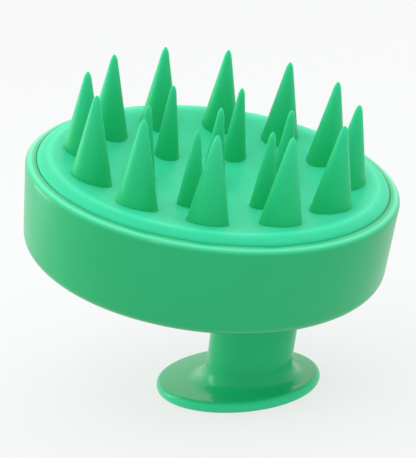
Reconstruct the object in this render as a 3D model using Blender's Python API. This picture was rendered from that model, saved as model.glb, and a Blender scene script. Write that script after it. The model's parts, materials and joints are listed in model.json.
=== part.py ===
"""Scalp massager brush: a round head with 19 soft bristles on a slanted mushroom handle.

The brush stands on the flat underside of its knob. The origin is the centre of that face, +Z is up,
and the handle leans towards +X, so the XZ plane is the plane of symmetry of the handle and the head.
The head and all it holds are placed under an empty, head_frame, whose origin is the centre of the
mouth of the head and whose +Z runs out of the mouth, along the bristles.
"""
import math

import bmesh
import bpy
from mathutils import Matrix, Vector

MM = 0.001

# Handle: a knob to rest on or hold, and a neck that rises from it at a slant.
KNOB_RADIUS = 19.2 * MM
KNOB_THICKNESS = 2.5 * MM
KNOB_EDGE_ROUND = 1.0 * MM
KNOB_SIDE_FLAT = 4.86 * MM        # flat of the knob beside the neck, on the side that it leans to
KNOB_LAND = 0.3 * MM              # flat left between the neck's fillet and the knob's round edge
NECK_RADIUS = 9.75 * MM
NECK_LENGTH = 25.13 * MM          # from the top of the knob to the underside of the head
NECK_SLANT = math.radians(15.6)
NECK_FILLET = 4.5 * MM
NECK_WALL = 2.5 * MM
NECK_CORE_DEPTH = 16.0 * MM
POST_WALL = 2.0 * MM              # the screw post in the middle of the neck
LOCATING_PIN_RADIUS = 0.9 * MM
LOCATING_PIN_HEIGHT = 1.8 * MM

# Head: a shallow cup, carried off its own axis by the neck.
HEAD_RADIUS = 42.5 * MM
HEAD_TAPER = 0.4 * MM             # the foot of the wall is this much smaller in radius
HEAD_DEPTH = 19.6 * MM
HEAD_FOOT_ROUND = 3.0 * MM
HEAD_OFFSET = 19.0 * MM           # from the head's axis to the neck's
WALL = 2.4 * MM
FLOOR = 2.4 * MM
RIM_ROUND = 0.7 * MM              # the wall turns in to the rim this far below the rim's plane
RIM_CROWN = 0.6 * MM              # the rim's inner edge stands this far above its plane

# Pad: the soft face of the brush, a shallow dish with a raised bead just inside the rim.
PAD_WEB = 1.05 * MM               # left under the deepest socket
DISH_RADIUS = 118.0 * MM          # of the sphere that the face follows
DISH_EDGE_HEIGHT = 1.64 * MM      # of the edge of the dish, above the rim's plane
BEAD_HEIGHT = 0.21 * MM           # above the edge of the dish
BEAD_WIDTH = 5.6 * MM
BEAD_ROUND = 2.8 * MM             # from the pad's side in to the crest of the bead
PAD_SIDE_HEIGHT = 0.3 * MM        # of the upright side, above the rim's plane

# Bristles: a ring of long ones, a ring of short ones and one in the middle. Lengths are above the dish.
LONG_BRISTLE_LENGTH = 19.1 * MM
LONG_BRISTLE_RADIUS = 4.5 * MM
SOCKET_OVERRUN = 0.8 * MM         # the long bristles' sockets run this far into the bead
SOCKET_FLARE = math.radians(16.0)  # the sockets widen above the hinges, so that the bristles can bend
LONG_RING_COUNT = 12
LONG_RING_TURN = math.radians(15.0)
SHORT_BRISTLE_LENGTH = 17.3 * MM
SHORT_BRISTLE_RADIUS = 2.95 * MM
RING_SPACING = 13.8 * MM          # from the long ring in to the short one
SHORT_RING_COUNT = 6
SHORT_RING_TURN = 0.0
CENTRE_BRISTLE_LENGTH = 18.4 * MM
TIP_RADIUS = 0.65 * MM

# Plate under the pad, and the screws that hold it and the handle.
PLATE_THICKNESS = 2.0 * MM
PLATE_SCREW_INSET = 11.1 * MM     # from the inside of the wall in to the screws
PLATE_SCREW_COUNT = 4
PLATE_SCREW_RADIUS = 1.3 * MM
PLATE_SCREW_HEAD_RADIUS = 2.7 * MM
PLATE_SCREW_END = 1.6 * MM        # from the floor of the shell up to the end of the screw
PLATE_SCREW_SINK = 0.2 * MM
BOSS_WALL = 2.0 * MM
HANDLE_SCREW_RADIUS = 2.0 * MM
HANDLE_SCREW_HEAD_RADIUS = 3.6 * MM
HANDLE_SCREW_HEAD_HEIGHT = 2.2 * MM
HANDLE_SCREW_LENGTH = 14.0 * MM
WASHER_RADIUS = 5.0 * MM
WASHER_THICKNESS = 0.8 * MM

# Clearances
GAP = 0.3 * MM                    # between pieces that touch on the real object
HOLE_CLEARANCE = 0.3 * MM         # around a screw or a pin, on the radius
BLIND_CLEARANCE = 1.0 * MM        # below the end of a screw
CUT = 1.0 * MM                    # how far a cutter runs past the face that it cuts

# Facets around each kind of round piece
ROUND_LARGE = 64
ROUND_MEDIUM = 48
ROUND_BRISTLE = 16
ROUND_SMALL = 16
BALL_RINGS = 4
FOOT_RINGS = 4
RIM_RINGS = 5
BEAD_RINGS = 4
DISH_RINGS = 6
CORNER_RINGS = 3
TIP_RINGS = 2
FILLET_RINGS = 5
EDGE_RINGS = 6
SMOOTH_ANGLE = math.radians(35.0)


def clear_scene():
    """Remove every object of the scene."""
    for item in list(bpy.data.objects):
        bpy.data.objects.remove(item, do_unlink=True)


def make_material(name, colour, roughness):
    """A plain Principled material."""
    material = bpy.data.materials.new(name)
    material.use_nodes = True
    shader = material.node_tree.nodes["Principled BSDF"]
    shader.inputs["Base Color"].default_value = (*colour, 1.0)
    shader.inputs["Roughness"].default_value = roughness
    return material


def make_metal(name, colour, roughness):
    """A plain Principled material of bare metal."""
    material = make_material(name, colour, roughness)
    material.node_tree.nodes["Principled BSDF"].inputs["Metallic"].default_value = 1.0
    return material


def place(name, mesh, material, parent=None, matrix=None):
    """Put a mesh in the scene as a named object, under its parent."""
    item = bpy.data.objects.new(name, mesh)
    bpy.context.scene.collection.objects.link(item)
    item.parent = parent
    if matrix is not None:
        item.matrix_basis = matrix
    if material is not None and not mesh.materials:
        mesh.materials.append(material)
    return item


def smooth(mesh):
    """Shade round surfaces smooth and keep real corners sharp."""
    mesh.shade_smooth()
    mesh.set_sharp_from_angle(angle=SMOOTH_ANGLE)


def mesh_from_rings(name, rings):
    """A closed mesh from rings of points, in order, with a face over each end.

    A ring of one point is a pole. Seen from outside, a ring's points run anticlockwise
    about +Z and the rings go from the bottom of the body up.
    """
    shape = bmesh.new()
    loops = [[shape.verts.new(point) for point in ring] for ring in rings]
    for lower, upper in zip(loops, loops[1:]):
        count = max(len(lower), len(upper))
        for index in range(count):
            after = (index + 1) % count
            corners = [lower[index % len(lower)], lower[after % len(lower)],
                       upper[after % len(upper)], upper[index % len(upper)]]
            shape.faces.new(list(dict.fromkeys(corners)))
    if len(loops[0]) > 2:
        shape.faces.new(reversed(loops[0]))
    if len(loops[-1]) > 2:
        shape.faces.new(loops[-1])
    bmesh.ops.recalc_face_normals(shape, faces=shape.faces)
    mesh = bpy.data.meshes.new(name)
    shape.to_mesh(mesh)
    shape.free()
    smooth(mesh)
    return mesh


def circle(radius, height, segments, centre=(0.0, 0.0)):
    """Points of a level circle, or one point where the radius is nothing."""
    if radius <= 0.0:
        return [Vector((centre[0], centre[1], height))]
    turns = [2.0 * math.pi * index / segments for index in range(segments)]
    return [Vector((centre[0] + radius * math.cos(turn), centre[1] + radius * math.sin(turn), height))
            for turn in turns]


def turned(name, profile, segments, centre=(0.0, 0.0)):
    """A closed turned body from its outline of (radius, height) points, from the bottom up."""
    return mesh_from_rings(name, [circle(radius, height, segments, centre) for radius, height in profile])


def arc(centre_radius, centre_height, radius, start, end, steps):
    """Outline points of an arc; the angles are in degrees from the outward direction, up."""
    angles = [math.radians(start + (end - start) * step / steps) for step in range(steps + 1)]
    return [(centre_radius + radius * math.cos(angle), centre_height + radius * math.sin(angle))
            for angle in angles]


def cylinder(name, radius, low, high, segments=ROUND_SMALL, centre=(0.0, 0.0)):
    """A plain cylinder mesh that stands between two heights."""
    return turned(name, [(radius, low), (radius, high)], segments, centre)


def combine(item, mesh, operation, matrix=None):
    """Cut a tool body out of an object, or join it on, by a Boolean with a hidden tool."""
    tool = place(f"tool_{item.name}_{len(item.modifiers)}", mesh, None, item.parent)
    tool.matrix_basis = item.matrix_basis @ (matrix or Matrix.Identity(4))
    tool.hide_render = True
    tool.display_type = "WIRE"
    step = item.modifiers.new(f"{operation.lower()}_{len(item.modifiers)}", "BOOLEAN")
    step.operation = operation
    step.solver = "EXACT"
    step.object = tool


def ring_angles(count, turn):
    """The directions of the members of a ring."""
    return [turn + 2.0 * math.pi * index / count for index in range(count)]


def around(radius, angle):
    """The place of a ring's member, in the head's plane."""
    return (radius * math.cos(angle), radius * math.sin(angle))


def neck_direction():
    """The direction in which the neck rises, which is also the head's axis."""
    return Vector((math.sin(NECK_SLANT), 0.0, math.cos(NECK_SLANT)))


def neck_foot():
    """Where the neck's axis meets the top of the knob."""
    reach = NECK_RADIUS / math.cos(NECK_SLANT)
    shift = KNOB_RADIUS - KNOB_EDGE_ROUND - KNOB_SIDE_FLAT - reach
    return Vector((shift, 0.0, KNOB_THICKNESS))


def head_matrix():
    """Place of the head: its mouth's centre, off the neck's axis, with the neck's slant."""
    slant = Matrix.Rotation(NECK_SLANT, 4, "Y")
    mouth = neck_foot() + neck_direction() * (NECK_LENGTH + HEAD_DEPTH)
    mouth -= slant.to_3x3() @ Vector((HEAD_OFFSET, 0.0, 0.0))
    return Matrix.Translation(mouth) @ slant


def make_head_frame():
    """The empty that carries the head and everything in it."""
    item = bpy.data.objects.new("head_frame", None)
    bpy.context.scene.collection.objects.link(item)
    item.matrix_world = head_matrix()
    return item


# Radii from the head's axis.
SHELL_INNER_RADIUS = HEAD_RADIUS - WALL
PAD_RADIUS = SHELL_INNER_RADIUS - GAP
DISH_EDGE_RADIUS = PAD_RADIUS - BEAD_WIDTH
LONG_RING_RADIUS = DISH_EDGE_RADIUS + SOCKET_OVERRUN - GAP - LONG_BRISTLE_RADIUS
SHORT_RING_RADIUS = LONG_RING_RADIUS - RING_SPACING
PLATE_SCREW_RING_RADIUS = SHELL_INNER_RADIUS - PLATE_SCREW_INSET


def sagitta(radius):
    """How far the dish rises from its middle to a radius."""
    return DISH_RADIUS - math.sqrt(DISH_RADIUS ** 2 - radius ** 2)


def face_height(radius):
    """Height of the pad's face at a radius, measured from the rim's plane."""
    return DISH_EDGE_HEIGHT - sagitta(DISH_EDGE_RADIUS) + sagitta(radius)


def bristle_rows():
    """Each bristle's name, length, radius, ring radius and direction."""
    rows = []
    for index, angle in enumerate(ring_angles(LONG_RING_COUNT, LONG_RING_TURN), start=1):
        rows.append((f"long_bristle_{index:02d}", LONG_BRISTLE_LENGTH, LONG_BRISTLE_RADIUS,
                     LONG_RING_RADIUS, angle))
    for index, angle in enumerate(ring_angles(SHORT_RING_COUNT, SHORT_RING_TURN), start=1):
        rows.append((f"short_bristle_{index:02d}", SHORT_BRISTLE_LENGTH, SHORT_BRISTLE_RADIUS,
                     SHORT_RING_RADIUS, angle))
    rows.append(("centre_bristle", CENTRE_BRISTLE_LENGTH, SHORT_BRISTLE_RADIUS, 0.0, math.pi / 2.0))
    return rows


def deepest_socket():
    """Height of the bottom of the socket that goes deepest into the pad."""
    return min(face_height(ring_radius) - radius - GAP for _, _, radius, ring_radius, _ in bristle_rows())


# Heights along the head's axis, measured from the rim's plane.
PAD_BACK = deepest_socket() - PAD_WEB
PLATE_FACE = PAD_BACK - GAP
PLATE_BACK = PLATE_FACE - PLATE_THICKNESS
BOSS_TOP = PLATE_BACK - GAP
FLOOR_TOP = -HEAD_DEPTH + FLOOR
UNDERSIDE = -HEAD_DEPTH
NECK_TOP = UNDERSIDE - GAP
PLATE_SCREW_SEAT = PLATE_FACE - PLATE_SCREW_SINK
PLATE_SCREW_TIP = FLOOR_TOP + PLATE_SCREW_END


def boss_places():
    """Places of the bosses that carry the plate's screws."""
    quarter = math.pi / PLATE_SCREW_COUNT
    return [around(PLATE_SCREW_RING_RADIUS, angle) for angle in ring_angles(PLATE_SCREW_COUNT, quarter)]


def pin_places():
    """Places of the neck's two locating pins, in the middle of its wall."""
    reach = NECK_RADIUS - NECK_WALL / 2.0
    return [(HEAD_OFFSET, reach), (HEAD_OFFSET, -reach)]


def shell_outline():
    """The head shell's outline, up its outer side and down its inner one."""
    foot_radius = HEAD_RADIUS - HEAD_TAPER
    outer = arc(foot_radius - HEAD_FOOT_ROUND, UNDERSIDE + HEAD_FOOT_ROUND, HEAD_FOOT_ROUND, -90.0, 0.0,
                FOOT_RINGS)
    crown = arc(0.0, 0.0, 1.0, 0.0, 90.0, RIM_RINGS)
    rim = [(SHELL_INNER_RADIUS + WALL * across, (RIM_ROUND + RIM_CROWN) * up - RIM_ROUND)
           for across, up in crown]
    inner_round = HEAD_FOOT_ROUND - HEAD_TAPER
    inner = arc(SHELL_INNER_RADIUS - inner_round, FLOOR_TOP + inner_round, inner_round, 0.0, -90.0,
                CORNER_RINGS)
    return outer + rim + inner


def make_head_shell(material, head):
    """The cup, with its screw bosses, the handle's screw hole and the pin holes."""
    shell = place("head_shell", turned("head_shell", shell_outline(), ROUND_LARGE), material, head)
    pilot = PLATE_SCREW_RADIUS + HOLE_CLEARANCE
    middle_of_floor = (FLOOR_TOP + UNDERSIDE) / 2.0
    for centre in boss_places():
        boss = cylinder("boss", pilot + BOSS_WALL, middle_of_floor, BOSS_TOP, centre=centre)
        combine(shell, boss, "UNION")
    for centre in boss_places():
        hole = cylinder("pilot", pilot, PLATE_SCREW_TIP - GAP, BOSS_TOP + CUT, centre=centre)
        combine(shell, hole, "DIFFERENCE")
    passage = cylinder("passage", HANDLE_SCREW_RADIUS + HOLE_CLEARANCE, UNDERSIDE - CUT, FLOOR_TOP + CUT,
                       centre=(HEAD_OFFSET, 0.0))
    combine(shell, passage, "DIFFERENCE")
    for centre in pin_places():
        hole = cylinder("pin_hole", LOCATING_PIN_RADIUS + HOLE_CLEARANCE, UNDERSIDE - CUT, FLOOR_TOP + CUT,
                        centre=centre)
        combine(shell, hole, "DIFFERENCE")
    return shell


def bristle_outline(length, radius):
    """A bristle's outline: a ball root below its surface line, a cone and a rounded tip."""
    root = arc(0.0, 0.0, radius, -90.0, 0.0, BALL_RINGS)
    root[0] = (0.0, -radius)
    flank = math.degrees(math.atan2(radius - TIP_RADIUS, length - TIP_RADIUS))
    tip = arc(0.0, length - TIP_RADIUS, TIP_RADIUS, flank, 90.0, TIP_RINGS)
    tip[-1] = (0.0, length)
    return root + tip


def bristle_matrix(ring_radius, angle):
    """Place of a bristle's root, on the pad's face, with its local +X outwards."""
    x, y = around(ring_radius, angle)
    return Matrix.Translation((x, y, face_height(ring_radius))) @ Matrix.Rotation(angle, 4, "Z")


def make_bristles(material, head):
    """All the bristles, each with its origin on its hinge; those of one size share a mesh."""
    meshes = {}
    for name, length, radius, ring_radius, angle in bristle_rows():
        size = (length, radius)
        if size not in meshes:
            meshes[size] = turned("bristle", bristle_outline(length, radius), ROUND_BRISTLE)
        place(name, meshes[size], material, head, bristle_matrix(ring_radius, angle))


def socket_outline(radius):
    """The outline of a ball socket for cutting, with a flared mouth that runs past the bead."""
    ball = arc(0.0, 0.0, radius, -90.0, 0.0, BALL_RINGS)
    ball[0] = (0.0, -radius)
    ball[-1] = (radius, -GAP / 2.0)
    high = sagitta(DISH_EDGE_RADIUS) + BEAD_HEIGHT + CUT
    mouth = radius + (high + GAP / 2.0) * math.tan(SOCKET_FLARE)
    return ball + [(mouth, high)]


def pad_outline():
    """The pad's outline: a flat back, an upright side, a round bead and a dished face."""
    rise = DISH_EDGE_HEIGHT + BEAD_HEIGHT - PAD_SIDE_HEIGHT
    bead = [(PAD_RADIUS - BEAD_ROUND + BEAD_ROUND * across, PAD_SIDE_HEIGHT + rise * up)
            for across, up in arc(0.0, 0.0, 1.0, 0.0, 90.0, BEAD_RINGS)]
    radii = [DISH_EDGE_RADIUS * step / DISH_RINGS for step in range(DISH_RINGS, 0, -1)]
    radii.append(SHORT_BRISTLE_RADIUS / 2.0)
    return [(PAD_RADIUS, PAD_BACK)] + bead + [(radius, face_height(radius)) for radius in radii]


def make_bristle_pad(material, head):
    """The soft pad, with a socket for each bristle."""
    pad = place("bristle_pad", turned("bristle_pad", pad_outline(), ROUND_LARGE), material, head)
    for name, _length, radius, ring_radius, angle in bristle_rows():
        socket = turned(f"socket_{name}", socket_outline(radius + GAP), ROUND_BRISTLE)
        combine(pad, socket, "DIFFERENCE", bristle_matrix(ring_radius, angle))
    return pad


def countersink_outline(clearance, length):
    """A countersunk screw's outline from its end up, grown by a clearance."""
    shank = PLATE_SCREW_RADIUS + clearance
    head = PLATE_SCREW_HEAD_RADIUS + clearance
    cone = PLATE_SCREW_HEAD_RADIUS - PLATE_SCREW_RADIUS
    return [(shank, -length), (shank, -cone), (head, 0.0)]


def make_backing_plate(material, head):
    """The stiff disc under the pad, countersunk for its screws."""
    radius = SHELL_INNER_RADIUS - 2.0 * GAP
    disc = turned("backing_plate", [(radius, PLATE_BACK), (radius, PLATE_FACE)], ROUND_MEDIUM)
    plate = place("backing_plate", disc, material, head)
    for centre in boss_places():
        outline = countersink_outline(HOLE_CLEARANCE, PLATE_THICKNESS + CUT)
        outline.append((PLATE_SCREW_HEAD_RADIUS + HOLE_CLEARANCE, CUT))
        tool = turned("countersink", outline, ROUND_SMALL)
        combine(plate, tool, "DIFFERENCE", Matrix.Translation((*centre, PLATE_SCREW_SEAT)))
    return plate


def make_plate_screws(material, head):
    """The countersunk screws that hold the plate down on the shell's bosses."""
    length = PLATE_SCREW_SEAT - PLATE_SCREW_TIP
    screw = turned("plate_screw", countersink_outline(0.0, length), ROUND_SMALL)
    for index, centre in enumerate(boss_places(), start=1):
        place(f"plate_screw_{index}", screw, material, head,
              Matrix.Translation((*centre, PLATE_SCREW_SEAT)))


def make_washer(material, head):
    """The washer under the handle screw's head, on the floor of the shell."""
    low = FLOOR_TOP + GAP
    washer = place("handle_washer", cylinder("handle_washer", WASHER_RADIUS, low, low + WASHER_THICKNESS),
                   material, head, Matrix.Translation((HEAD_OFFSET, 0.0, 0.0)))
    hole = cylinder("washer_hole", HANDLE_SCREW_RADIUS + HOLE_CLEARANCE, low - CUT,
                    low + WASHER_THICKNESS + CUT)
    combine(washer, hole, "DIFFERENCE")
    return washer


def handle_screw_seat():
    """Height of the underside of the handle screw's head."""
    return FLOOR_TOP + GAP + WASHER_THICKNESS + GAP


def make_handle_screw(material, head):
    """The screw that draws the handle up against the head."""
    seat = handle_screw_seat()
    outline = [(HANDLE_SCREW_RADIUS, seat - HANDLE_SCREW_LENGTH), (HANDLE_SCREW_RADIUS, seat),
               (HANDLE_SCREW_HEAD_RADIUS, seat), (HANDLE_SCREW_HEAD_RADIUS, seat + HANDLE_SCREW_HEAD_HEIGHT)]
    return place("handle_screw", turned("handle_screw", outline, ROUND_SMALL), material, head,
                 Matrix.Translation((HEAD_OFFSET, 0.0, 0.0)))


def neck_rings():
    """Rings of the neck from its fillet's foot up: a concave flare, then the straight neck."""
    rise = neck_direction()
    across = Matrix.Rotation(NECK_SLANT, 3, "Y") @ Vector((1.0, 0.0, 0.0))
    turns = [2.0 * math.pi * index / ROUND_MEDIUM for index in range(ROUND_MEDIUM)]
    fillet = min(NECK_FILLET, KNOB_SIDE_FLAT - KNOB_LAND)
    rings = []
    for step in range(FILLET_RINGS + 1):
        share = step / FILLET_RINGS
        ring = []
        for turn in turns:
            side = across * math.cos(turn) + Vector((0.0, math.sin(turn), 0.0))
            drop = NECK_RADIUS * math.cos(turn) * math.tan(NECK_SLANT)
            base = neck_foot() + side * NECK_RADIUS + rise * drop
            foot = base + Vector((math.cos(turn), math.sin(turn), 0.0)) * fillet
            top = base + rise * fillet
            ring.append(foot * (1.0 - share) ** 2 + base * 2.0 * share * (1.0 - share) + top * share ** 2)
        rings.append(ring)
    end = neck_foot() + rise * (NECK_LENGTH - GAP)
    rings.append([end + (across * math.cos(turn) + Vector((0.0, math.sin(turn), 0.0))) * NECK_RADIUS
                  for turn in turns])
    return rings


def knob_rings():
    """Rings of the knob: its flat underside and its round edge."""
    middle = KNOB_THICKNESS / 2.0
    flat = KNOB_RADIUS - KNOB_EDGE_ROUND
    return [circle(flat + KNOB_EDGE_ROUND * across, middle + middle * up, ROUND_MEDIUM)
            for across, up in arc(0.0, 0.0, 1.0, -90.0, 90.0, EDGE_RINGS)]


def make_handle(material, head):
    """The handle in one piece: knob, neck, screw post and locating pins."""
    handle = place("handle", mesh_from_rings("handle", knob_rings() + neck_rings()), material)
    frame = head_matrix() @ Matrix.Translation((HEAD_OFFSET, 0.0, 0.0))
    pilot = HANDLE_SCREW_RADIUS + HOLE_CLEARANCE
    core = turned("core", [(NECK_RADIUS - NECK_WALL, NECK_TOP - NECK_CORE_DEPTH),
                           (NECK_RADIUS - NECK_WALL, NECK_TOP + CUT)], ROUND_MEDIUM)
    combine(handle, core, "DIFFERENCE", frame)
    post = cylinder("post", pilot + POST_WALL, NECK_TOP - NECK_CORE_DEPTH - CUT, NECK_TOP)
    combine(handle, post, "UNION", frame)
    screw_end = handle_screw_seat() - HANDLE_SCREW_LENGTH
    hole = cylinder("post_hole", pilot, screw_end - BLIND_CLEARANCE, NECK_TOP + CUT)
    combine(handle, hole, "DIFFERENCE", frame)
    for x, y in pin_places():
        pin = cylinder("pin", LOCATING_PIN_RADIUS, NECK_TOP - CUT, NECK_TOP + LOCATING_PIN_HEIGHT,
                       centre=(x - HEAD_OFFSET, y))
        combine(handle, pin, "UNION", frame)
    return handle


def main():
    """Build every piece of the brush."""
    clear_scene()
    shell_plastic = make_material("shell_plastic", (0.03, 0.42, 0.18), 0.35)
    handle_plastic = make_material("handle_plastic", (0.04, 0.48, 0.24), 0.18)
    pad_silicone = make_material("pad_silicone", (0.08, 0.72, 0.42), 0.55)
    bristle_silicone = make_material("bristle_silicone", (0.03, 0.48, 0.2), 0.5)
    plate_plastic = make_material("plate_plastic", (0.75, 0.78, 0.76), 0.5)
    screw_steel = make_metal("screw_steel", (0.6, 0.61, 0.63), 0.35)
    head = make_head_frame()
    make_head_shell(shell_plastic, head)
    make_bristle_pad(pad_silicone, head)
    make_bristles(bristle_silicone, head)
    make_backing_plate(plate_plastic, head)
    make_plate_screws(screw_steel, head)
    make_washer(screw_steel, head)
    make_handle_screw(screw_steel, head)
    make_handle(handle_plastic, head)
    bpy.context.view_layer.update()


main()
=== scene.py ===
"""Looks of a scalp massager brush: moulded shell and handle, silicone pad and soft bristles.

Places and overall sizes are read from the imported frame, and the finer sizes are named in each class.
The head's own frame has its origin at the middle of the pad's face and +Z along the bristles.
"""
from __future__ import annotations

import json
import logging
import math
from dataclasses import dataclass
from enum import Enum
from typing import Callable, Union

import bpy
from mathutils import Matrix, Vector


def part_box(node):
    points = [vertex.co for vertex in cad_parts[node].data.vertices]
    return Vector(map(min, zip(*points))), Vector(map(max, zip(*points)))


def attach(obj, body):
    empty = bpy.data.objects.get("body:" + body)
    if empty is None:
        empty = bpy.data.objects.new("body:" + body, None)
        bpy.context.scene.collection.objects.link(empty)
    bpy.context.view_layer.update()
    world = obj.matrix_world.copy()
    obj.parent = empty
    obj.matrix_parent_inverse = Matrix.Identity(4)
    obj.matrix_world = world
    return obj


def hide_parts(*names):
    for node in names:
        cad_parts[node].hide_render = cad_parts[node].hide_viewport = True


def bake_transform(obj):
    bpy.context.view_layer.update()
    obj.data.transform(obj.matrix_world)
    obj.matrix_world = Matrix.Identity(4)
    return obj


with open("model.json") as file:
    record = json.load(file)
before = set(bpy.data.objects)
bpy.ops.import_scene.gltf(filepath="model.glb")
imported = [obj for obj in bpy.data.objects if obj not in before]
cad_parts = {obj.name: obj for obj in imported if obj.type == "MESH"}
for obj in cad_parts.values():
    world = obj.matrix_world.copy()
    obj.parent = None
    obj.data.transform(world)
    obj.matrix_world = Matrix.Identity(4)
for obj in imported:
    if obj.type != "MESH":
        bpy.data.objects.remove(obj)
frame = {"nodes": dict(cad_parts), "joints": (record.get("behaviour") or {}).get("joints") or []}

MM = 0.001
DISH_RADIUS = 118.0 * MM
# The mesh value that says how much painted light, as a paler colour, a material mixes in: painted highlights
# on crests and edges, and paler bristle tips.
PAINTED_LIGHT = "rise"
LOG = logging.getLogger("brush")
Colour = tuple[float, float, float]
Outline = list[tuple[float, float]]


# ---------------------------------------------------------------- measuring the frame


class HeadPlace:
    """Where the head stands, worked out from the hinges of the bristles."""

    CENTRE_JOINT = "centre_bristle_bend"
    FRONT_JOINT = "short_bristle_01_bend"

    def __init__(self) -> None:
        """Read the hinge places and build the head's matrix from them."""
        self.joints = {joint["name"]: joint for joint in frame["joints"]}
        self.centre = Vector(self.joints[self.CENTRE_JOINT]["pos_m"])
        along = -Vector(self.joints[self.CENTRE_JOINT]["axis"]).normalized()
        across = Vector(self.joints[self.FRONT_JOINT]["axis"]).normalized()
        self.axis = along.cross(across).normalized()
        turn = Matrix((along, across, self.axis)).transposed().to_4x4()
        self.matrix = Matrix.Translation(self.centre) @ turn

    def bristle_matrix(self, joint_name: str) -> Matrix:
        """Place of one bristle: its root on its hinge, +X outwards and +Z along it.

        Args:
            joint_name: the name of the bristle's hinge.

        Returns:
            The matrix from the bristle's own frame to the world.
        """
        joint = self.joints[joint_name]
        hinge = Vector(joint["axis"]).normalized()
        outward = hinge.cross(self.axis).normalized()
        turn = Matrix((outward, hinge, self.axis)).transposed().to_4x4()
        return Matrix.Translation(Vector(joint["pos_m"])) @ turn


@dataclass(frozen=True)
class Reach:
    """How far a node reaches in a frame: its lowest and highest points and its radius."""

    low: float
    high: float
    radius: float


def reach_of(node: str, matrix: Matrix) -> Reach:
    """Measure a CAD node along and around the Z axis of a frame.

    Args:
        node: the node's name.
        matrix: the frame to measure in.

    Returns:
        The node's heights and its largest distance from the axis.
    """
    into = matrix.inverted()
    points = [into @ vertex.co for vertex in frame["nodes"][node].data.vertices]
    heights = [point.z for point in points]
    return Reach(min(heights), max(heights), max(point.xy.length for point in points))


# ---------------------------------------------------------------- shader expressions

Operand = Union["Signal", float]


class Signal:
    """A shader value that takes part in Python expressions."""

    def __init__(self, recipe: Recipe, socket: bpy.types.NodeSocket) -> None:
        """Wrap an output socket of a recipe's tree."""
        self.recipe = recipe
        self.socket = socket

    def _math(self, operation: str, first: Operand, second: Operand) -> Signal:
        """Add a Math node for two operands and wrap its result."""
        node = self.recipe.node("ShaderNodeMath", {"operation": operation}, {0: first, 1: second})
        return Signal(self.recipe, node.outputs[0])

    def __add__(self, other: Operand) -> Signal:
        """Return self + other."""
        return self._math("ADD", self, other)

    __radd__ = __add__

    def __sub__(self, other: Operand) -> Signal:
        """Return self - other."""
        return self._math("SUBTRACT", self, other)

    def __rsub__(self, other: Operand) -> Signal:
        """Return other - self."""
        return self._math("SUBTRACT", other, self)

    def __mul__(self, other: Operand) -> Signal:
        """Return self * other."""
        return self._math("MULTIPLY", self, other)

    __rmul__ = __mul__

    def __pow__(self, other: Operand) -> Signal:
        """Return self to the power of other."""
        return self._math("POWER", self, other)


class Recipe:
    """The node tree of one material, around a single Principled shader."""

    def __init__(self, name: str) -> None:
        """Start a material of that name."""
        self.material = bpy.data.materials.new(name)
        self.material.use_nodes = True
        self.tree = self.material.node_tree
        self.shader = self.tree.nodes["Principled BSDF"]

    def node(self, kind: str, settings: dict, inputs: dict) -> bpy.types.Node:
        """Add a node.

        Args:
            kind: the node's type.
            settings: attributes that are set before the inputs; "stops" fills a ramp.
            inputs: values, signals or sockets by input name or number.

        Returns:
            The new node.
        """
        made = self.tree.nodes.new(kind)
        for key, value in settings.items():
            if key == "stops":
                self._fill_ramp(made, value)
            else:
                setattr(made, key, value)
        for key, value in inputs.items():
            self.feed(made.inputs[key], value)
        return made

    @staticmethod
    def _fill_ramp(node: bpy.types.Node, stops: list[tuple[float, Colour]]) -> None:
        """Give a colour ramp its stops."""
        elements = node.color_ramp.elements
        while len(elements) < len(stops):
            elements.new(1.0)
        for element, (position, colour) in zip(elements, stops):
            element.position = position
            element.color = (*colour, 1.0)

    def feed(self, socket: bpy.types.NodeSocket, value: object) -> None:
        """Link a signal or a socket to an input, or set the input's own value."""
        if isinstance(value, Signal):
            self.tree.links.new(value.socket, socket)
        elif isinstance(value, bpy.types.NodeSocket):
            self.tree.links.new(value, socket)
        elif isinstance(value, tuple) and len(value) == 3 and socket.type == "RGBA":
            socket.default_value = (*value, 1.0)
        else:
            socket.default_value = value

    def set(self, **inputs: object) -> None:
        """Feed the Principled shader; an underscore in a name stands for a space."""
        for key, value in inputs.items():
            self.feed(self.shader.inputs[key.replace("_", " ")], value)

    def place(self, scale: float) -> bpy.types.NodeSocket:
        """Object coordinates, multiplied by a scale.

        Args:
            scale: how many units of the pattern lie in a metre.

        Returns:
            The vector socket to read a texture at.
        """
        source = self.node("ShaderNodeTexCoord", {}, {})
        mapping = self.node("ShaderNodeMapping", {}, {"Vector": source.outputs["Object"],
                                                      "Scale": (scale, scale, scale)})
        return mapping.outputs["Vector"]

    def noise(self, scale: float, detail: float = 2.0, roughness: float = 0.5) -> Signal:
        """A cloudy pattern from 0 to 1.

        Args:
            scale: how many clouds lie in a metre.
            detail: how many finer layers it holds.
            roughness: how strong the finer layers are.

        Returns:
            The pattern's value.
        """
        made = self.node("ShaderNodeTexNoise", {}, {"Vector": self.place(scale), "Scale": 1.0,
                                                    "Detail": detail, "Roughness": roughness})
        return Signal(self, made.outputs["Fac"])

    def attribute(self, name: str) -> Signal:
        """A number stored on the mesh."""
        made = self.node("ShaderNodeAttribute", {"attribute_name": name}, {})
        return Signal(self, made.outputs["Fac"])

    def blend(self, share: Operand, first: object, second: object) -> bpy.types.NodeSocket:
        """Mix two colours.

        Args:
            share: how much of the second colour to use.
            first: the first colour, or a socket.
            second: the second colour, or a socket.

        Returns:
            The mixed colour's socket.
        """
        made = self.node("ShaderNodeMix", {"data_type": "RGBA"}, {})
        self.feed(made.inputs["Factor"], share)
        self.feed(made.inputs[6], first)
        self.feed(made.inputs[7], second)
        return made.outputs[2]

    def bump(self, height: Signal, strength: float, distance: float) -> bpy.types.NodeSocket:
        """A surface that rises and falls with a pattern.

        Args:
            height: the pattern.
            strength: how much it shows.
            distance: its depth, in metres.

        Returns:
            The normal's socket.
        """
        made = self.node("ShaderNodeBump", {}, {"Strength": strength, "Distance": distance,
                                                "Height": height})
        return made.outputs["Normal"]


# ---------------------------------------------------------------- finishes


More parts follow.
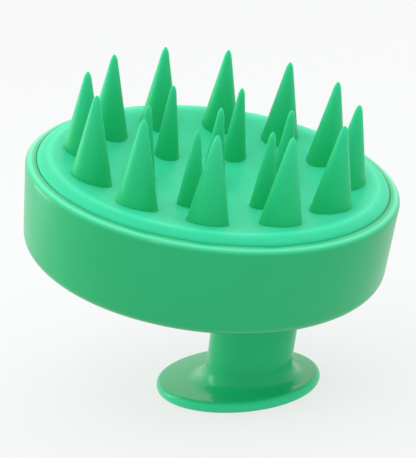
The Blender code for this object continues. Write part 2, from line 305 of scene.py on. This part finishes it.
@dataclass(frozen=True)
class MouldedPlastic:
    """Coloured plastic from a mould, from satin to polished."""

    name: str
    colour: Colour
    shade: Colour
    # edge: the colour of a painted highlight, mixed in along the rim's crest and the knob's edge.
    edge: Colour
    roughness: float
    roughness_spread: float
    specular: float
    coat: float
    coat_roughness: float
    grain: float
    grain_depth: float

    def material(self) -> bpy.types.Material:
        """Build the material: slow flow clouds, a painted highlight in a paler colour along crests and
        edges, fine grain.
        """
        recipe = Recipe(self.name)
        flow = recipe.noise(38.0, 2.0, 0.45)
        smear = recipe.noise(150.0, 3.0, 0.6)
        body = recipe.blend(flow, self.colour, self.shade)
        # Painted highlight: the pale edge colour is mixed in where the painted-light value is high.
        recipe.set(Base_Color=recipe.blend(recipe.attribute(PAINTED_LIGHT) ** 1.3, body, self.edge))
        recipe.set(Roughness=self.roughness + (smear - 0.5) * self.roughness_spread)
        recipe.set(Specular_IOR_Level=self.specular)
        recipe.set(Coat_Weight=self.coat, Coat_Roughness=self.coat_roughness)
        grain = recipe.noise(self.grain, 2.0, 0.6)
        recipe.set(Normal=recipe.bump(grain, 0.25, self.grain_depth))
        return recipe.material


@dataclass(frozen=True)
class SoftSilicone:
    """Matte silicone that lets a little light through."""

    name: str
    colour: Colour
    shade: Colour
    # tip: the colour of painted light, for the paler bristle tips and the painted highlight on the pad's
    # bead crest.
    tip: Colour
    valley: Colour
    mottle: float
    roughness: float
    specular: float
    depth: float
    scatter: float

    def material(self) -> bpy.types.Material:
        """Build the material: painted light in a paler colour towards the bristles' tips and along the pad's
        bead crest, with fine moulded grain.
        """
        recipe = Recipe(self.name)
        cloud = recipe.noise(60.0, 2.0, 0.5)
        body = recipe.blend(cloud, self.colour, self.shade)
        patch = recipe.noise(150.0, 3.0, 0.55)
        body = recipe.blend((patch - 0.42) * self.mottle, body, self.valley)
        # Painted light: the paler tip colour is mixed in where the painted-light value is high.
        painted_light_share = recipe.attribute(PAINTED_LIGHT) ** 1.6
        recipe.set(Base_Color=recipe.blend(painted_light_share, body, self.tip))
        powder = recipe.noise(900.0, 3.0, 0.65)
        recipe.set(Roughness=self.roughness + (powder - 0.5) * 0.16)
        recipe.set(Subsurface_Weight=self.scatter, Subsurface_Radius=(0.35, 1.0, 0.6),
                   Subsurface_Scale=self.depth)
        recipe.set(Specular_IOR_Level=self.specular, Sheen_Weight=0.05, Sheen_Roughness=0.5)
        recipe.set(Normal=recipe.bump(recipe.noise(3200.0, 2.0, 0.6), 0.2, 0.00002))
        return recipe.material


@dataclass(frozen=True)
class PlatedSteel:
    """Zinc-plated steel of small screws and washers."""

    name: str
    colour: Colour
    stain: Colour
    roughness: float

    def material(self) -> bpy.types.Material:
        """Build the material: faint stains in the plating."""
        recipe = Recipe(self.name)
        stain = recipe.noise(420.0, 4.0, 0.6)
        recipe.set(Base_Color=recipe.blend(stain, self.colour, self.stain))
        recipe.set(Metallic=1.0, Roughness=self.roughness + (stain - 0.5) * 0.2)
        return recipe.material


class Finish(Enum):
    """Every finish on the brush."""

    # The shell's edge colour is a painted highlight along its rim's crest.
    SHELL = MouldedPlastic(
        name="satin_green_plastic", colour=(0.015, 0.41, 0.150), shade=(0.012, 0.38, 0.130),
        edge=(0.080, 0.70, 0.41), roughness=0.34, roughness_spread=0.06, specular=0.15,
        coat=0.22, coat_roughness=0.07, grain=2600.0, grain_depth=0.00002)
    # The handle's edge colour is a painted highlight towards the knob's rounded edge.
    HANDLE = MouldedPlastic(
        name="polished_green_plastic", colour=(0.015, 0.46, 0.175), shade=(0.012, 0.43, 0.155),
        edge=(0.028, 0.53, 0.25), roughness=0.24, roughness_spread=0.03, specular=0.10,
        coat=0.12, coat_roughness=0.03, grain=1800.0, grain_depth=0.000006)
    # The pad's tip colour is a painted highlight along its bead's crest.
    PAD = SoftSilicone(
        name="mint_silicone", colour=(0.025, 0.58, 0.31), shade=(0.018, 0.53, 0.27),
        tip=(0.050, 0.66, 0.38), valley=(0.016, 0.47, 0.23), mottle=1.2, roughness=0.5,
        specular=0.18, depth=0.0022, scatter=0.2)
    # The bristles' tip colour is painted light, paler towards their tips.
    BRISTLE = SoftSilicone(
        name="green_silicone", colour=(0.009, 0.47, 0.165), shade=(0.007, 0.45, 0.155),
        tip=(0.030, 0.56, 0.27), valley=(0.009, 0.40, 0.13), mottle=0.5, roughness=0.45,
        specular=0.18, depth=0.0022, scatter=0.2)
    PLATE = MouldedPlastic(
        name="natural_plastic", colour=(0.70, 0.74, 0.71), shade=(0.66, 0.70, 0.67),
        edge=(0.70, 0.74, 0.71), roughness=0.5, roughness_spread=0.08, specular=0.5,
        coat=0.0, coat_roughness=0.3, grain=1500.0, grain_depth=0.00003)
    STEEL = PlatedSteel("plated_steel", (0.62, 0.63, 0.65), (0.50, 0.49, 0.46), 0.32)


class Paintbox:
    """Hands out each finish's material, made once."""

    def __init__(self) -> None:
        """Start with no material made."""
        self._made: dict[Finish, bpy.types.Material] = {}

    def get(self, finish: Finish) -> bpy.types.Material:
        """The material of a finish."""
        if finish not in self._made:
            self._made[finish] = finish.value.material()
        return self._made[finish]

    def dress(self, item: bpy.types.Object, finish: Finish) -> None:
        """Give an object a finish in place of what it had."""
        item.data.materials.clear()
        item.data.materials.append(self.get(finish))


# ---------------------------------------------------------------- modelling steps


def arc(centre: tuple[float, float], radius: float, start: float, end: float, steps: int) -> Outline:
    """Points of an arc in an outline.

    Args:
        centre: the arc's centre, as (distance from the axis, height).
        radius: the arc's radius.
        start: the first point's angle in degrees, from the outward direction, up.
        end: the last point's angle.
        steps: how many chords the arc has.

    Returns:
        The points, both ends included.
    """
    angles = [math.radians(start + (end - start) * step / steps) for step in range(steps + 1)]
    return [(centre[0] + radius * math.cos(angle), centre[1] + radius * math.sin(angle)) for angle in angles]


class Workpiece:
    """One new object, shaped in edit mode from a disc."""

    def __init__(self, name: str, radius: float, height: float, sides: int) -> None:
        """Start from a disc.

        Args:
            name: the object's name.
            radius: the disc's radius.
            height: the disc's height above the origin.
            sides: how many sides the disc has.
        """
        bpy.ops.object.select_all(action="DESELECT")
        bpy.ops.mesh.primitive_circle_add(vertices=sides, radius=radius, fill_type="NGON")
        self.item = bpy.context.object
        self.item.name = name
        bpy.ops.object.mode_set(mode="EDIT")
        bpy.ops.mesh.select_all(action="SELECT")
        bpy.ops.transform.translate(value=(0.0, 0.0, height))
        self.centre = Vector((0.0, 0.0, height))
        self.size = (radius, radius)

    def grow(self, centre: Vector, size: tuple[float, float]) -> None:
        """Extrude the chosen face to a new ring.

        Args:
            centre: the new ring's centre.
            size: its half-widths along X and Y.
        """
        bpy.ops.mesh.extrude_region_move(TRANSFORM_OT_translate={"value": tuple(centre - self.centre)})
        ratio = (size[0] / self.size[0], size[1] / self.size[1], 1.0)
        bpy.ops.transform.resize(value=ratio, center_override=tuple(centre))
        self.centre = centre.copy()
        self.size = size

    def follow(self, outline: Outline) -> None:
        """Extrude the chosen face along an outline of (radius, height) points."""
        for radius, height in outline:
            self.grow(Vector((0.0, 0.0, height)), (radius, radius))

    def close(self) -> None:
        """Draw the chosen face together into a pole."""
        bpy.ops.mesh.merge(type="CENTER")

    def leave(self) -> bpy.types.Object:
        """Turn every face outwards and leave edit mode."""
        bpy.ops.mesh.select_all(action="SELECT")
        bpy.ops.mesh.normals_make_consistent(inside=False)
        bpy.ops.object.mode_set(mode="OBJECT")
        return self.item


def turned(name: str, outline: Outline, sides: int, pole: bool = False) -> bpy.types.Object:
    """A turned piece, from its outline.

    Args:
        name: the object's name.
        outline: (radius, height) points, from the first flat end to the last.
        sides: how many sides the piece has.
        pole: whether the last ring is drawn together into a point.

    Returns:
        The new object.
    """
    piece = Workpiece(name, *outline[0], sides)
    piece.follow(outline[1:])
    if pole:
        piece.close()
    return piece.leave()


def choose(item: bpy.types.Object) -> None:
    """Make an object the only one selected, and the active one."""
    bpy.ops.object.select_all(action="DESELECT")
    item.select_set(True)
    bpy.context.view_layer.objects.active = item


def combine(item: bpy.types.Object, tool: bpy.types.Object, operation: str) -> None:
    """Cut a tool out of a piece or join it on, and throw the tool away.

    Args:
        item: the piece.
        tool: the other body.
        operation: DIFFERENCE or UNION.
    """
    choose(item)
    step = item.modifiers.new("combine", "BOOLEAN")
    step.operation = operation
    step.solver = "EXACT"
    step.object = tool
    bpy.ops.object.modifier_apply(modifier=step.name)
    bpy.data.objects.remove(tool, do_unlink=True)


def settle(item: bpy.types.Object, matrix: Matrix) -> None:
    """Move a piece to its place and leave its object at the origin."""
    choose(item)
    item.matrix_world = matrix
    bpy.ops.object.transform_apply(location=True, rotation=True, scale=True)


def shade(item: bpy.types.Object, angle: float = 32.0) -> None:
    """Shade a piece smooth, apart from edges sharper than an angle in degrees."""
    choose(item)
    bpy.ops.object.shade_smooth_by_angle(angle=math.radians(angle))


def mark_painted_light(item: bpy.types.Object, level: Callable[[Vector], float]) -> None:
    """Store on a mesh how much painted light, as a paler colour, its material shows at each point.

    Args:
        item: the piece, before it is moved to its place.
        level: gives a point's value, which is held between 0 and 1.
    """
    rise = item.data.attributes.new(PAINTED_LIGHT, "FLOAT", "POINT")
    for value, vertex in zip(rise.data, item.data.vertices):
        value.value = min(1.0, max(0.0, level(vertex.co)))


def report(item: bpy.types.Object) -> None:
    """Log a finished piece."""
    LOG.info("%s: %d faces", item.name, len(item.data.polygons))


# ---------------------------------------------------------------- the brush


@dataclass
class HeadShell:
    """The cup that holds the pad, with a crowned rim."""

    head: HeadPlace
    wall: float = 2.4 * MM
    floor: float = 2.4 * MM
    taper: float = 0.4 * MM
    foot_round: float = 3.0 * MM
    rim_rise: float = 1.3 * MM
    lip_round: float = 0.25 * MM
    # Where and how wide the painted highlight along the rim's crest is.
    crest_inset: float = 1.0 * MM
    crest_width: float = 0.9 * MM
    sides: int = 160

    def outline(self) -> Outline:
        """The shell's outline, from its underside up, over the rim and down to its floor."""
        size = reach_of("head_shell", self.head.matrix)
        foot = size.radius - self.taper - self.foot_round
        inner = size.radius - self.wall
        corner = self.foot_round - self.taper
        points = arc((foot, size.low + self.foot_round), self.foot_round, -90.0, 0.0, 10)
        points += [(inner + self.wall * across, size.high - self.rim_rise + self.rim_rise * up)
                   for across, up in arc((0.0, 0.0), 1.0, 0.0, 84.0, 14)]
        points += arc((inner + self.lip_round, size.high - self.lip_round), self.lip_round, 100.0, 180.0, 5)
        points += arc((inner - corner, size.low + self.floor + corner), corner, 0.0, -90.0, 5)
        return points

    def build(self, paint: Paintbox) -> bpy.types.Object:
        """Make the shell.

        Args:
            paint: where the materials come from.

        Returns:
            The finished piece.
        """
        item = turned("head_shell_moulding", self.outline(), self.sides)
        size = reach_of("head_shell", self.head.matrix)
        # Painted highlight: a narrow paler band along the rim's crest.
        crest = size.radius - self.crest_inset
        mark_painted_light(item, lambda point: (1.0 - abs(point.xy.length - crest) / self.crest_width)
             * float(point.z > size.high - self.rim_rise))
        settle(item, self.head.matrix)
        shade(item)
        paint.dress(item, Finish.SHELL)
        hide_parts("head_shell")
        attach(item, "brush")
        return item


@dataclass(frozen=True)
class BristleSize:
    """The size of one bristle: a cone with a round tip, on a face that banks around its root."""

    length: float
    radius: float
    ring_radius: float
    tip: float = 0.57 * MM
    nose: float = 1.6 * MM
    play: float = 0.015 * MM

    @property
    def bank(self) -> float:
        """How far the pad's face rises or falls from the bristle's middle to its side."""
        return self.radius * self.ring_radius / math.sqrt(DISH_RADIUS ** 2 - self.ring_radius ** 2)

    def width(self, height: float) -> float:
        """The bristle's radius at a height above its root."""
        flank = self.radius - (self.radius - self.tip) * height / self.length
        share = max(0.0, (height - self.length + self.nose) / self.nose)
        return flank * math.sqrt(1.0 - share ** 2)


@dataclass
class Bristles:
    """Nineteen soft bristles, each placed at its own hinge's point."""

    head: HeadPlace
    sides: int = 48
    flank_rings: int = 20
    nose_rings: int = 9
    root_depth: float = 0.8 * MM
    bend_share: float = 0.62

    def size_of(self, node: str) -> BristleSize:
        """Measure one bristle's CAD node, and how far its root is from the head's axis."""
        matrix = self.head.bristle_matrix(f"{node}_bend")
        size = reach_of(node, matrix)
        local = self.head.matrix.inverted() @ matrix.translation
        return BristleSize(size.high, size.radius, local.xy.length)

    def names(self) -> list[str]:
        """The bristles' node names, in order."""
        return sorted(name.removesuffix("_bend") for name in self.head.joints)

    def outline(self, size: BristleSize) -> Outline:
        """A bristle's outline, from the flat end of its root up to just below its tip."""
        low = -size.bank - self.root_depth
        shoulder = size.length - size.nose
        points = [(size.width(height), height) for height in self.heights(low, shoulder, self.flank_rings)]
        for step in range(1, self.nose_rings):
            height = shoulder + size.nose * math.sin(math.pi / 2.0 * step / self.nose_rings)
            points.append((size.width(height), height))
        return points

    @staticmethod
    def heights(low: float, high: float, steps: int) -> list[float]:
        """Evenly spaced values from one to the other, both included."""
        return [low + (high - low) * step / steps for step in range(steps + 1)]

    def pattern(self, name: str, size: BristleSize) -> bpy.types.Object:
        """Model a bristle of one size at the origin, with painted light paler towards its tip."""
        item = turned(name, self.outline(size), self.sides, pole=True)
        shade(item)
        # Painted light: paler towards the tip, where light shines through the thin silicone.
        mark_painted_light(item, lambda point: point.z / size.length)
        return item

    def build(self, paint: Paintbox) -> list[bpy.types.Object]:
        """Make every bristle.

        Args:
            paint: where the materials come from.

        Returns:
            The finished pieces.
        """
        patterns: dict[str, bpy.types.Object] = {}
        made = []
        for node in self.names():
            size = self.size_of(node)
            kind = node.split("_")[0]
            if kind not in patterns:
                patterns[kind] = self.pattern(f"{kind}_pattern", size)
            item = patterns[kind].copy()
            item.data = patterns[kind].data.copy()
            item.name = f"{node}_silicone"
            bpy.context.scene.collection.objects.link(item)
            matrix = self.head.bristle_matrix(f"{node}_bend")
            settle(item, matrix)
            paint.dress(item, Finish.BRISTLE)
            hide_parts(node)
            tuple(matrix @ Vector((0.0, 0.0, size.bank)))
            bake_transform(item)
            made.append(item)
        for item in patterns.values():
            bpy.data.objects.remove(item, do_unlink=True)
        return made


@dataclass
class BristlePad:
    """The silicone face of the brush: a raised bead around a dish with a hole for each bristle."""

    head: HeadPlace
    bristles: Bristles
    fill: float = 0.25 * MM
    bead_width: float = 6.2 * MM
    bead_round: float = 2.8 * MM
    bead_drop: float = 1.55 * MM
    # Width of the painted highlight along the bead's crest.
    crest_width: float = 1.6 * MM
    back_edge: float = 0.4 * MM
    middle: float = 1.2 * MM
    bead_rings: int = 12
    slope_rings: int = 8
    dish_rings: int = 22
    sides: int = 160

    def face_height(self, radius: float) -> float:
        """Height of the dished face at a radius, above its middle."""
        return DISH_RADIUS - math.sqrt(DISH_RADIUS ** 2 - radius ** 2)

    def outline(self) -> Outline:
        """The pad's outline, from its back up its side, over the bead and down into its dish."""
        size = reach_of("bristle_pad", self.head.matrix)
        side = size.radius + self.fill
        crest = side - self.bead_round
        points = [(side - self.back_edge, size.low), (side, size.low + self.back_edge)]
        points += [(crest + self.bead_round * across, size.high - self.bead_drop + self.bead_drop * up)
                   for across, up in arc((0.0, 0.0), 1.0, 0.0, 90.0, self.bead_rings)]
        edge = side - self.bead_width
        low = self.face_height(edge)
        slope = edge / math.sqrt(DISH_RADIUS ** 2 - edge ** 2)
        reach = crest - edge
        for step in range(1, self.slope_rings + 1):
            share = step / self.slope_rings
            ease = share * share * (3.0 - 2.0 * share)
            pull = share * share * (share - 1.0)
            height = size.high + (low - size.high) * ease - slope * reach * pull
            points.append((crest - reach * share, height))
        points += [(radius, self.face_height(radius)) for radius in
                   Bristles.heights(edge, self.middle, self.dish_rings)[1:]]
        return points

    def build(self, paint: Paintbox) -> bpy.types.Object:
        """Make the pad.

        Args:
            paint: where the materials come from.

        Returns:
            The finished piece.
        """
        item = turned("bristle_pad_silicone", self.outline(), self.sides)
        for node in self.bristles.names():
            local = self.head.matrix.inverted() @ self.head.bristle_matrix(f"{node}_bend")
            combine(item, self.socket(self.bristles.size_of(node), local), "DIFFERENCE")
        # Painted highlight: a paler band along the bead's crest.
        crest = reach_of("bristle_pad", self.head.matrix).radius + self.fill - self.bead_round
        mark_painted_light(item, lambda point: 1.0 - abs(point.xy.length - crest) / self.crest_width)
        settle(item, self.head.matrix)
        shade(item)
        paint.dress(item, Finish.PAD)
        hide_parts("bristle_pad")
        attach(item, "brush")
        return item

    def socket(self, size: BristleSize, matrix: Matrix) -> bpy.types.Object:
        """A cutter for the hole that one bristle's root fills, in the shape of the root."""
        high = 2.0 * size.bank + self.bead_drop
        low = -size.bank - self.bristles.root_depth - size.play
        outline = [(size.width(height) + size.play, height) for height in (low, high)]
        cutter = turned("socket_cutter", outline, self.bristles.sides)
        settle(cutter, matrix)
        return cutter


@dataclass
class Handle:
    """The knob and the slanted neck, in one polished moulding."""

    head: HeadPlace
    edge_round: float = 1.0 * MM
    thickness: float = 2.5 * MM
    neck_radius: float = 9.75 * MM
    side_flat: float = 4.86 * MM
    fillet: float = 4.5 * MM
    seam: float = 0.3 * MM
    spare: float = 4.0 * MM
    edge_rings: int = 16
    fillet_rings: int = 12
    sides: int = 128

    def build(self, paint: Paintbox) -> bpy.types.Object:
        """Make the handle.

        Args:
            paint: where the materials come from.

        Returns:
            The finished piece.
        """
        flat = -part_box("handle")[0].x - self.edge_round
        slant = math.atan2(self.head.axis.x, self.head.axis.z)
        piece = Workpiece("handle_moulding", flat, 0.0, self.sides)
        half = self.thickness / 2.0
        edge = arc((0.0, 0.0), 1.0, -90.0, 90.0, self.edge_rings)[1:]
        piece.follow([(flat + self.edge_round * across, half + half * up) for across, up in edge])
        wide = self.neck_radius / math.cos(slant)
        foot = Vector((flat - self.side_flat - wide, 0.0, self.thickness))
        for step in range(self.fillet_rings + 1):
            share = step / self.fillet_rings
            reach = self.fillet * (1.0 - share) ** 2
            centre = foot + self.head.axis * (self.fillet * share ** 2)
            piece.grow(centre, (wide + reach, self.neck_radius + reach))
        shell = reach_of("head_shell", self.head.matrix)
        underside = self.head.matrix @ Vector((0.0, 0.0, shell.low - self.seam))
        rise = (underside - foot).dot(self.head.axis) + self.spare
        piece.grow(foot + self.head.axis * rise, piece.size)
        bpy.ops.mesh.select_all(action="SELECT")
        bpy.ops.mesh.bisect(plane_co=tuple(underside), plane_no=tuple(self.head.axis),
                            use_fill=True, clear_outer=True)
        item = piece.leave()
        # Painted highlight: paler towards the knob's rounded edge.
        mark_painted_light(item, lambda point: (point.xy.length - flat) / self.edge_round
             * float(point.z < self.thickness))
        shade(item)
        paint.dress(item, Finish.HANDLE)
        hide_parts("handle")
        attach(item, "brush")
        return item


@dataclass
class HiddenParts:
    """The pieces inside the head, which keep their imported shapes."""

    FINISHES = {"backing_plate": Finish.PLATE, "plate_screw": Finish.STEEL,
                "handle_screw": Finish.STEEL, "handle_washer": Finish.STEEL}

    def dress(self, paint: Paintbox) -> list[bpy.types.Object]:
        """Give each hidden piece its finish.

        Args:
            paint: where the materials come from.

        Returns:
            The pieces dressed.
        """
        made = []
        for name, item in sorted(frame["nodes"].items()):
            for start, finish in self.FINISHES.items():
                if name.startswith(start):
                    paint.dress(item, finish)
                    made.append(item)
        return made


# ---------------------------------------------------------------- the studio


@dataclass
class Studio:
    """A pale floor, soft lights and the camera."""

    head: HeadPlace
    floor_size: float = 6.0
    azimuth: float = -45.0
    elevation: float = 24.77
    roll: float = 6.98
    distance: float = 272.8 * MM
    slide_right: float = 1.37 * MM
    slide_up: float = 13.39 * MM
    rim_above_face: float = 3.425 * MM
    focal_length: float = 94.32
    sensor: float = 36.0
    sky: tuple[tuple[float, float], tuple[float, float]] = ((0.0, 0.30), (1.0, 1.0))
    sky_strength: float = 1.6

    def floor(self) -> None:
        """Lay a large pale floor under the brush."""
        bpy.ops.object.select_all(action="DESELECT")
        bpy.ops.mesh.primitive_plane_add(size=self.floor_size)
        item = bpy.context.object
        item.name = "floor"
        recipe = Recipe("pale_floor")
        recipe.set(Base_Color=(0.16, 0.16, 0.16), Roughness=0.9, Specular_IOR_Level=0.0)
        recipe.set(Emission_Color=(1.0, 1.0, 1.0), Emission_Strength=0.72)
        item.data.materials.append(recipe.material)

    def camera(self) -> None:
        """Set the camera by the head's own frame: turned round it, raised and rolled."""
        azimuth = math.radians(self.azimuth)
        elevation = math.radians(self.elevation)
        roll = math.radians(self.roll)
        toward = Vector((-math.cos(azimuth) * math.cos(elevation),
                         -math.sin(azimuth) * math.cos(elevation), -math.sin(elevation)))
        level = Vector((-math.sin(azimuth), math.cos(azimuth), 0.0))
        upright = level.cross(toward)
        right = level * math.cos(roll) + upright * math.sin(roll)
        up = upright * math.cos(roll) - level * math.sin(roll)
        spot = Vector((0.0, 0.0, self.rim_above_face)) - right * self.slide_right - up * self.slide_up
        spot -= toward * self.distance
        turn = Matrix((right, up, -toward)).transposed().to_4x4()
        data = bpy.data.cameras.new("camera")
        data.lens = self.focal_length
        data.sensor_width = self.sensor
        data.clip_start = 0.01
        item = bpy.data.objects.new("camera", data)
        bpy.context.scene.collection.objects.link(item)
        item.matrix_world = self.head.matrix @ Matrix.Translation(spot) @ turn
        bpy.context.scene.camera = item

    def light(self, name: str, spot: tuple[float, float, float], size: tuple[float, float],
              power: float, colour: Colour = (1.0, 1.0, 1.0)) -> None:
        """Hang a soft rectangular light that faces the brush.

        Args:
            name: the light's name.
            spot: its place as seen by the camera: right, up and towards the camera, in metres.
            size: its width and height.
            power: its power in watts.
            colour: its colour.
        """
        data = bpy.data.lights.new(name, "AREA")
        data.shape = "RECTANGLE"
        data.size, data.size_y = size
        data.energy = power
        data.color = colour
        item = bpy.data.objects.new(name, data)
        bpy.context.scene.collection.objects.link(item)
        side, near = self.level_directions()
        middle = self.head.centre
        place = middle + side * spot[0] + Vector((0.0, 0.0, spot[1])) + near * spot[2]
        item.location = place
        item.rotation_mode = "QUATERNION"
        item.rotation_quaternion = (middle - place).to_track_quat("-Z", "Y")

    def surroundings(self) -> None:
        """Fill the room with soft light, brightest above and behind, and dim near the camera."""
        world = bpy.data.worlds.new("pale_room")
        world.use_nodes = True
        bpy.context.scene.world = world
        tree = world.node_tree
        background = tree.nodes["Background"]
        source = tree.nodes.new("ShaderNodeTexCoord")
        facing = tree.nodes.new("ShaderNodeVectorMath")
        facing.operation = "DOT_PRODUCT"
        side, near = self.level_directions()
        facing.inputs[1].default_value = (Vector((0.0, 0.0, 0.75)) - near * 0.35 - side * 0.1).normalized()
        shift = tree.nodes.new("ShaderNodeMapRange")
        shift.inputs["From Min"].default_value = -0.9
        ramp = tree.nodes.new("ShaderNodeValToRGB")
        ramp.color_ramp.interpolation = "EASE"
        for element, (place, level) in zip(ramp.color_ramp.elements, self.sky):
            element.position = place
            element.color = (level * 0.97, level, level, 1.0)
        tree.links.new(source.outputs["Generated"], facing.inputs[0])
        tree.links.new(facing.outputs["Value"], shift.inputs["Value"])
        tree.links.new(shift.outputs["Result"], ramp.inputs[0])
        tree.links.new(ramp.outputs[0], background.inputs["Color"])
        background.inputs["Strength"].default_value = self.sky_strength
        bpy.context.scene.view_settings.view_transform = "Standard"

    @staticmethod
    def level_directions() -> tuple[Vector, Vector]:
        """The camera's right and the way towards the camera, both level."""
        seen = bpy.context.scene.camera.matrix_world.to_3x3()
        side = Vector((seen.col[0].x, seen.col[0].y, 0.0)).normalized()
        near = Vector((seen.col[2].x, seen.col[2].y, 0.0)).normalized()
        return side, near

    def build(self) -> None:
        """Set up the whole studio."""
        self.floor()
        self.camera()
        bpy.context.view_layer.update()
        self.surroundings()
        self.light("left_panel", (-0.42, 0.05, -0.16), (0.14, 0.5), 1.1, (0.60, 1.0, 0.92))
        self.light("front_strip", (-0.16, 0.62, 0.42), (0.04, 0.30), 0.35)


def main() -> None:
    """Build the brush and its studio, piece by piece."""
    logging.basicConfig(level=logging.INFO, format="%(name)s: %(message)s")
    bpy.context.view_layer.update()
    head = HeadPlace()
    paint = Paintbox()
    bristles = Bristles(head)
    pieces = [HeadShell(head).build(paint), BristlePad(head, bristles).build(paint)]
    pieces += bristles.build(paint)
    pieces.append(Handle(head).build(paint))
    pieces += HiddenParts().dress(paint)
    for piece in pieces:
        report(piece)
    Studio(head).build()


if __name__ == "__main__":
    main()
